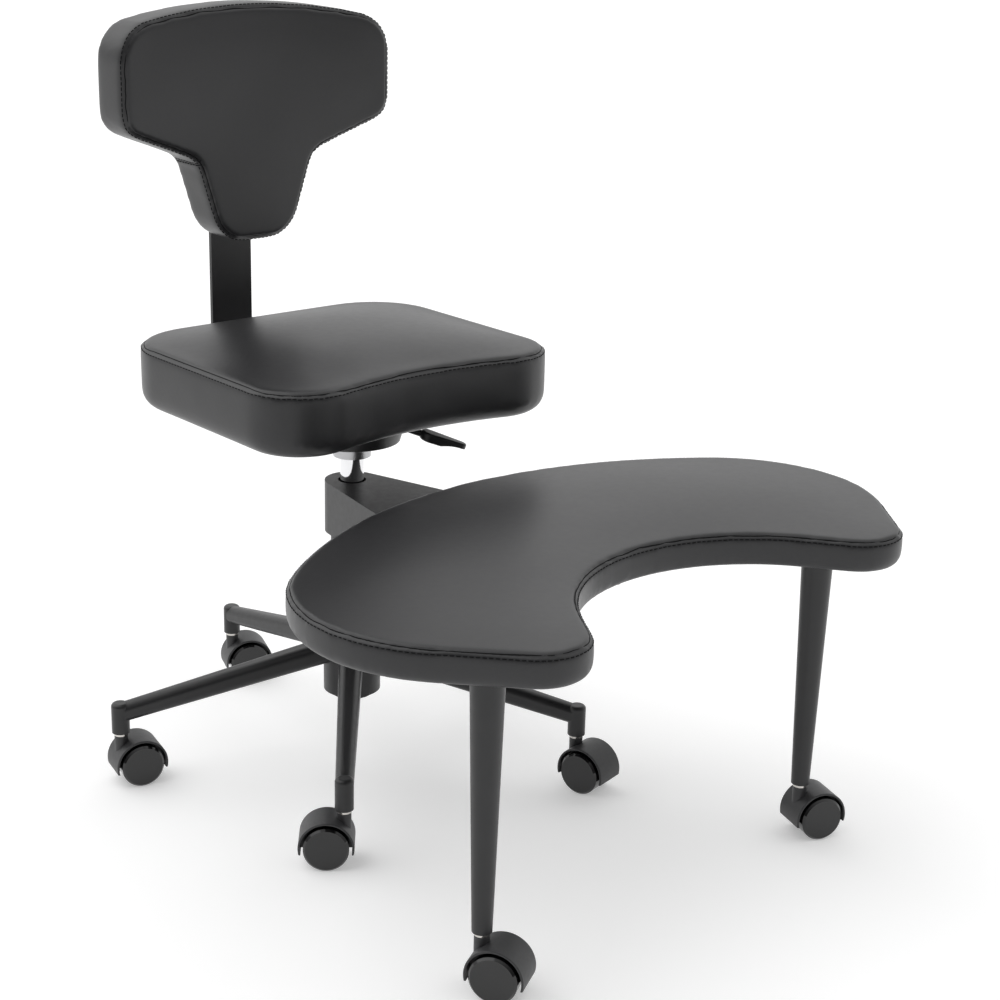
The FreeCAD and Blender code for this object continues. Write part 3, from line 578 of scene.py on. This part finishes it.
def fasteners(name, node, body, head_height, shank_radius, recess, sides):
    """Detailed bolts or screws in place of the plain ones of a CAD node."""
    bm = bmesh.new()
    for low, high in node_islands(node):
        threaded_bolt(bm, low, high, head_height, shank_radius, recess, sides)
    bmesh.ops.recalc_face_normals(bm, faces=bm.faces)
    piece = new_object(name, bm)
    finish_piece(piece, body, zinc_plate(), [node])
    piece.data.set_sharp_from_angle(angle=math.radians(35))


class Finish:
    """A node material under construction, whose patterns lie on Object coordinates."""

    def __init__(self, name):
        self.material = bpy.data.materials.new(name)
        self.material.use_nodes = True
        self.tree = self.material.node_tree
        self.shader = self.tree.nodes["Principled BSDF"]
        self.place = self.tree.nodes.new("ShaderNodeTexCoord").outputs["Object"]

    def node(self, kind, **inputs):
        """A node with some of its inputs set or linked."""
        made = self.tree.nodes.new(kind)
        for socket, value in inputs.items():
            socket = socket.replace("_", " ")
            if isinstance(value, bpy.types.NodeSocket):
                self.tree.links.new(value, made.inputs[socket])
            else:
                made.inputs[socket].default_value = value
        return made

    def stretched(self, stretch):
        """Object coordinates, drawn out along some axes."""
        return self.node("ShaderNodeMapping", Vector=self.place, Scale=stretch).outputs["Vector"]

    def noise(self, scale, detail=3.0, stretch=None):
        """Soft irregular spots, as a number from 0 to 1."""
        vector = self.stretched(stretch) if stretch else self.place
        return self.node("ShaderNodeTexNoise", Vector=vector, Scale=scale, Detail=detail).outputs["Fac"]

    def cells(self, scale):
        """Round cells, as the distance from their middles."""
        grain = self.node("ShaderNodeTexVoronoi", Vector=self.place, Scale=scale)
        grain.feature = "SMOOTH_F1"
        return grain.outputs["Distance"]

    def ranged(self, factor, low, high, start=0.25, end=0.75):
        """A number from 0 to 1 brought into another range."""
        span = self.node("ShaderNodeMapRange", Value=factor)
        span.inputs["From Min"].default_value = start
        span.inputs["From Max"].default_value = end
        span.inputs["To Min"].default_value = low
        span.inputs["To Max"].default_value = high
        return span.outputs["Result"]

    def paint(self, factor, base, dark, light):
        """A base colour that varies between a darker and a lighter shade of itself."""
        mix = self.tree.nodes.new("ShaderNodeMix")
        mix.data_type = "RGBA"
        self.tree.links.new(self.ranged(factor, 0.0, 1.0), mix.inputs["Factor"])
        mix.inputs[6].default_value = (*[part * dark for part in base], 1)
        mix.inputs[7].default_value = (*[min(1.0, part * light) for part in base], 1)
        self.tree.links.new(mix.outputs[2], self.shader.inputs["Base Color"])
        return self

    def polish(self, factor, low, high):
        """A roughness that varies between two values."""
        self.tree.links.new(self.ranged(factor, low, high), self.shader.inputs["Roughness"])
        return self

    def relief(self, height, distance, strength=1.0):
        """A fine relief of that depth."""
        bump = self.node("ShaderNodeBump", Height=height, Distance=distance, Strength=strength)
        self.tree.links.new(bump.outputs["Normal"], self.shader.inputs["Normal"])
        return self

    def set(self, **inputs):
        """Constant inputs of the shader."""
        for socket, value in inputs.items():
            self.shader.inputs[socket.replace("_", " ")].default_value = value
        return self


def made_once(build):
    """Makes a finish the first time that it is asked for."""
    def finish():
        name = f"chair_{build.__name__}"
        return bpy.data.materials.get(name) or build(Finish(name), settings()[1]).material
    return finish


@made_once
def leather(finish, colours):
    """Smooth coated fabric with a fine pebble grain."""
    finish.paint(finish.noise(300.0), colours.leather, 0.94, 1.06)
    finish.polish(finish.noise(120.0), 0.36, 0.39)
    finish.relief(finish.cells(1100.0), 0.0001, 0.25)
    return finish.set(Specular_IOR_Level=0.5)


@made_once
def sewing_thread(finish, colours):
    """Waxed thread, twisted."""
    finish.paint(finish.noise(900.0), colours.thread, 0.6, 1.8)
    finish.relief(finish.noise(2600.0, stretch=(1, 1, 3)), 0.0001, 0.6)
    return finish.set(Roughness=0.8, Specular_IOR_Level=0.2)


def satin_coat(finish, base, rough_low, rough_high):
    """Baked coat with a fine orange peel."""
    finish.paint(finish.noise(25.0), base, 0.88, 1.15)
    finish.polish(finish.noise(140.0), rough_low, rough_high)
    finish.relief(finish.noise(1300.0, detail=2.0), 0.00006, 0.5)
    return finish


@made_once
def powder_coat(finish, colours):
    """Satin black coat of the steel pieces."""
    return satin_coat(finish, colours.coat, 0.34, 0.42)


@made_once
def base_coat(finish, colours):
    """Satin black coat of the cast base, a little grainier."""
    return satin_coat(finish, colours.casting, 0.32, 0.42)


@made_once
def hood_plastic(finish, colours):
    """Moulded plastic with a fine spark-eroded texture."""
    finish.paint(finish.noise(40.0), colours.hood, 0.92, 1.1)
    finish.polish(finish.noise(300.0), 0.42, 0.5)
    return finish.relief(finish.noise(2400.0, detail=2.0), 0.00005, 0.6)


@made_once
def wheel_plastic(finish, colours):
    """Glossy moulded plastic, slightly rubbed."""
    finish.paint(finish.noise(60.0), colours.wheel, 0.8, 1.25)
    finish.polish(finish.noise(120.0, detail=6.0), 0.08, 0.14)
    return finish.set(Coat_Weight=0.3, Coat_Roughness=0.08)


@made_once
def handle_plastic(finish, colours):
    """Grained plastic of the lever."""
    finish.paint(finish.noise(80.0), colours.handle, 0.85, 1.2)
    finish.polish(finish.noise(400.0), 0.36, 0.46)
    return finish.relief(finish.cells(1500.0), 0.0001, 0.5)


def bright_metal(finish, base, rough_low, rough_high, stretch):
    """Plated or ground metal, with marks drawn out along its finish."""
    finish.paint(finish.noise(30.0), base, 0.92, 1.05)
    finish.polish(finish.noise(400.0, detail=5.0, stretch=stretch), rough_low, rough_high)
    return finish.set(Metallic=1.0)


@made_once
def chrome_plate(finish, colours):
    """Mirror chrome of the lift tube."""
    return bright_metal(finish, colours.chrome, 0.04, 0.1, (1, 1, 0.1))


@made_once
def nickel_plate(finish, colours):
    """Bright nickel of the caster stems."""
    return bright_metal(finish, colours.nickel, 0.12, 0.22, (1, 1, 4))


@made_once
def ground_steel(finish, colours):
    """Steel with turning marks."""
    bright_metal(finish, colours.steel, 0.25, 0.42, (0.2, 0.2, 5))
    return finish.relief(finish.noise(900.0, stretch=(0.1, 0.1, 3)), 0.00004, 0.5)


@made_once
def zinc_plate(finish, colours):
    """Dull bright plating of bolts and screws."""
    bright_metal(finish, colours.zinc, 0.28, 0.4, (1, 1, 1))
    return finish.relief(finish.cells(700.0), 0.00004, 0.3)


@made_once
def plywood(finish, colours):
    """Black-stained rotary-cut veneer with long grain."""
    grain = finish.noise(60.0, detail=6.0, stretch=(0.08, 1, 1))
    finish.paint(grain, colours.plywood, 0.62, 1.15)
    finish.polish(grain, 0.55, 0.75)
    return finish.relief(grain, 0.0002, 0.4)


@made_once
def nylon(finish, colours):
    """Natural nylon."""
    finish.paint(finish.noise(50.0), colours.nylon, 0.9, 1.06)
    return finish.polish(finish.noise(200.0), 0.4, 0.55)


@made_once
def rubber(finish, colours):
    """Dull rubber."""
    finish.paint(finish.noise(120.0), colours.rubber, 0.8, 1.3)
    finish.polish(finish.noise(300.0), 0.7, 0.85)
    return finish.relief(finish.noise(1500.0), 0.0001, 0.4)


SLOT_FINISH = {
    "upholstery": leather, "plywood": plywood, "black_steel": powder_coat, "black_casting": base_coat,
    "bright_chrome": chrome_plate, "nickel": nickel_plate, "steel": ground_steel, "zinc": zinc_plate,
    "bush_plastic": nylon, "lever_plastic": handle_plastic, "hood_plastic": hood_plastic,
    "wheel_plastic": wheel_plastic, "rubber": rubber,
}


def studio_world(studio):
    """White to the camera, and a backdrop that is bright behind the chair and dim before it as a light."""
    world = bpy.data.worlds.new("Studio")
    world.use_nodes = True
    tree = world.node_tree
    tree.nodes.clear()
    place = tree.nodes.new("ShaderNodeTexCoord")
    facing = tree.nodes.new("ShaderNodeVectorMath")
    facing.operation = "DOT_PRODUCT"
    tree.links.new(place.outputs["Generated"], facing.inputs[0])
    level = Vector((math.sin(studio.camera_heading), math.cos(studio.camera_heading), 0.9)).normalized()
    facing.inputs[1].default_value = level
    fade = tree.nodes.new("ShaderNodeMapRange")
    fade.interpolation_type = "SMOOTHSTEP"
    tree.links.new(facing.outputs["Value"], fade.inputs["Value"])
    fade.inputs["From Min"].default_value = -0.6
    fade.inputs["From Max"].default_value = 0.75
    fade.inputs["To Min"].default_value = studio.sky_front
    fade.inputs["To Max"].default_value = studio.sky_back
    light = tree.nodes.new("ShaderNodeBackground")
    tree.links.new(fade.outputs["Result"], light.inputs["Strength"])
    white = tree.nodes.new("ShaderNodeBackground")
    for shade in (light, white):
        shade.inputs["Color"].default_value = (1, 1, 1, 1)
    seen = tree.nodes.new("ShaderNodeLightPath")
    either = tree.nodes.new("ShaderNodeMath")
    either.operation = "MAXIMUM"
    tree.links.new(seen.outputs["Is Camera Ray"], either.inputs[0])
    tree.links.new(seen.outputs["Is Transmission Ray"], either.inputs[1])
    mix = tree.nodes.new("ShaderNodeMixShader")
    tree.links.new(either.outputs["Value"], mix.inputs["Fac"])
    tree.links.new(light.outputs["Background"], mix.inputs[1])
    tree.links.new(white.outputs["Background"], mix.inputs[2])
    out = tree.nodes.new("ShaderNodeOutputWorld")
    tree.links.new(mix.outputs["Shader"], out.inputs["Surface"])
    bpy.context.scene.world = world


def studio_floor(studio):
    """Pale floor that glows a little for the camera and keeps the chair's shadow."""
    bm = bmesh.new()
    bmesh.ops.create_circle(bm, cap_ends=True, segments=64, radius=studio.floor_radius)
    floor = new_object("floor", bm)
    finish = Finish("pale_floor")
    finish.paint(finish.noise(0.7), studio.floor, 0.99, 1.01)
    finish.set(Roughness=0.9, Specular_IOR_Level=0.1)
    seen = finish.node("ShaderNodeLightPath")
    either = finish.tree.nodes.new("ShaderNodeMath")
    either.operation = "MAXIMUM"
    finish.tree.links.new(seen.outputs["Is Camera Ray"], either.inputs[0])
    finish.tree.links.new(seen.outputs["Is Glossy Ray"], either.inputs[1])
    finish.set(Emission_Color=(1, 1, 1, 1))
    finish.tree.links.new(finish.ranged(either.outputs["Value"], 0.0, 0.3, 0.0, 1.0),
                          finish.shader.inputs["Emission Strength"])
    floor.data.materials.append(finish.material)


def studio_camera(studio):
    """Camera at the photograph's place and angle."""
    level = Vector((math.sin(studio.camera_heading), math.cos(studio.camera_heading), 0))
    ahead = level * math.cos(studio.camera_dip) - UP * math.sin(studio.camera_dip)
    right = ahead.cross(UP).normalized()
    top = right.cross(ahead)
    turned_right = right * math.cos(studio.camera_roll) + top * math.sin(studio.camera_roll)
    turned_top = turned_right.cross(ahead)
    data = bpy.data.cameras.new("Camera")
    data.lens = studio.lens
    data.sensor_width = 36.0
    camera = bpy.data.objects.new("Camera", data)
    turn = Matrix((turned_right, turned_top, -ahead)).transposed().to_4x4()
    camera.matrix_world = Matrix.Translation(studio.camera_place) @ turn
    bpy.context.collection.objects.link(camera)
    bpy.context.scene.camera = camera


def studio_key(studio):
    """Wide soft light from above the chair's left."""
    data = bpy.data.lights.new("Key", "SUN")
    data.energy = studio.sun
    data.angle = math.radians(70)
    key = bpy.data.objects.new("Key", data)
    key.rotation_euler = (math.radians(-28), math.radians(-30), 0)
    bpy.context.collection.objects.link(key)


class CHAIR_OT_seat_cushion(bpy.types.Operator):
    """Sews the seat cushion and its seams"""

    bl_idname = "chair.seat_cushion"
    bl_label = "Seat cushion"

    def execute(self, context):
        cushions = settings()[0]
        cushion("seat_pad", "seat_cushion", "seat_board", "seat", Place(),
                cushions.seat_seam, cushions.seat_crown)
        return {"FINISHED"}


class CHAIR_OT_back_rest_cushion(bpy.types.Operator):
    """Sews the T-shaped cushion of the back rest and its seams"""

    bl_idname = "chair.back_rest_cushion"
    bl_label = "Back rest cushion"

    def execute(self, context):
        cushions = settings()[0]
        place = CurvedPlace(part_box("backrest_board")[1].y, cushions.rest_radius)
        front = laid_top("backrest_cushion", place)
        rear = laid_top("backrest_board", place)
        across, height = cushions.rest_cross_seam
        band = [front - cushions.rest_seam, rear]
        lines = [[Vector((side * across, height, depth)) for depth in band] for side in (-1, 1)]
        cushion("back_rest_pad", "backrest_cushion", "backrest_board", "seat", place,
                cushions.rest_seam, cushions.rest_crown, lines)
        return {"FINISHED"}


class CHAIR_OT_platform_cushion(bpy.types.Operator):
    """Sews the crescent cushion of the leg platform and its seams"""

    bl_idname = "chair.platform_cushion"
    bl_label = "Platform cushion"

    def execute(self, context):
        cushions = settings()[0]
        cushion("platform_pad", "platform_cushion", "platform_board", "platform", Place(),
                cushions.platform_seam, cushions.platform_crown)
        return {"FINISHED"}


class CHAIR_OT_fasteners(bpy.types.Operator):
    """Makes the bolts and screws with their recesses"""

    bl_idname = "chair.fasteners"
    bl_label = "Fasteners"

    def execute(self, context):
        sizes = settings()[0]
        fasteners("seat_plate_bolts", "seat_bolts", "seat", sizes.bolt_head, sizes.bolt_shank, 0.5, 6)
        fasteners("bar_bolts", "back_bar_bolts", "seat", sizes.bolt_head, sizes.bolt_shank, 0.5, 6)
        fasteners("platform_wood_screws", "platform_screws", "platform",
                  sizes.screw_head, sizes.screw_shank, 0.45, 4)
        return {"FINISHED"}


class CHAIR_OT_finishes(bpy.types.Operator):
    """Gives every CAD node its finish"""

    bl_idname = "chair.finishes"
    bl_label = "Finishes"

    def execute(self, context):
        for part in frame["record"]["subparts"]:
            node = NODES[part["node"]]
            finish = SLOT_FINISH[part["material_slot"]]()
            if not node.material_slots:
                node.data.materials.append(finish)
            for slot in node.material_slots:
                slot.material = finish
        return {"FINISHED"}


class CHAIR_OT_studio(bpy.types.Operator):
    """Sets up the floor, the light and the camera"""

    bl_idname = "chair.studio"
    bl_label = "Studio"

    def execute(self, context):
        studio = settings()[2]
        studio_world(studio)
        studio_floor(studio)
        studio_key(studio)
        studio_camera(studio)
        context.scene.view_settings.view_transform = "Standard"
        return {"FINISHED"}


class CHAIR_PT_build(bpy.types.Panel):
    """Steps that build the chair, and its settings"""

    bl_idname = "CHAIR_PT_build"
    bl_label = "Cross-legged chair"
    bl_space_type = "VIEW_3D"
    bl_region_type = "UI"
    bl_category = "Chair"

    def draw(self, context):
        for step in STEPS:
            self.layout.operator(step.bl_idname)
        for group in settings():
            for name in group.__annotations__:
                self.layout.prop(group, name)


STEPS = (
    CHAIR_OT_seat_cushion,
    CHAIR_OT_back_rest_cushion,
    CHAIR_OT_platform_cushion,
    CHAIR_OT_fasteners,
    CHAIR_OT_finishes,
    CHAIR_OT_studio,
)
CLASSES = (CushionSettings, FinishSettings, StudioSettings) + STEPS + (CHAIR_PT_build,)


def register():
    """Adds the classes and the settings."""
    for cls in CLASSES:
        bpy.utils.register_class(cls)
    bpy.types.Scene.chair_cushions = PointerProperty(type=CushionSettings)
    bpy.types.Scene.chair_finishes = PointerProperty(type=FinishSettings)
    bpy.types.Scene.chair_studio = PointerProperty(type=StudioSettings)


def unregister():
    """Takes the settings and the classes away."""
    del bpy.types.Scene.chair_studio
    del bpy.types.Scene.chair_finishes
    del bpy.types.Scene.chair_cushions
    for cls in reversed(CLASSES):
        bpy.utils.unregister_class(cls)


def main():
    register()
    bpy.ops.chair.seat_cushion()
    bpy.ops.chair.back_rest_cushion()
    bpy.ops.chair.platform_cushion()
    bpy.ops.chair.fasteners()
    bpy.ops.chair.finishes()
    bpy.ops.chair.studio()


if __name__ == "__main__":
    main()
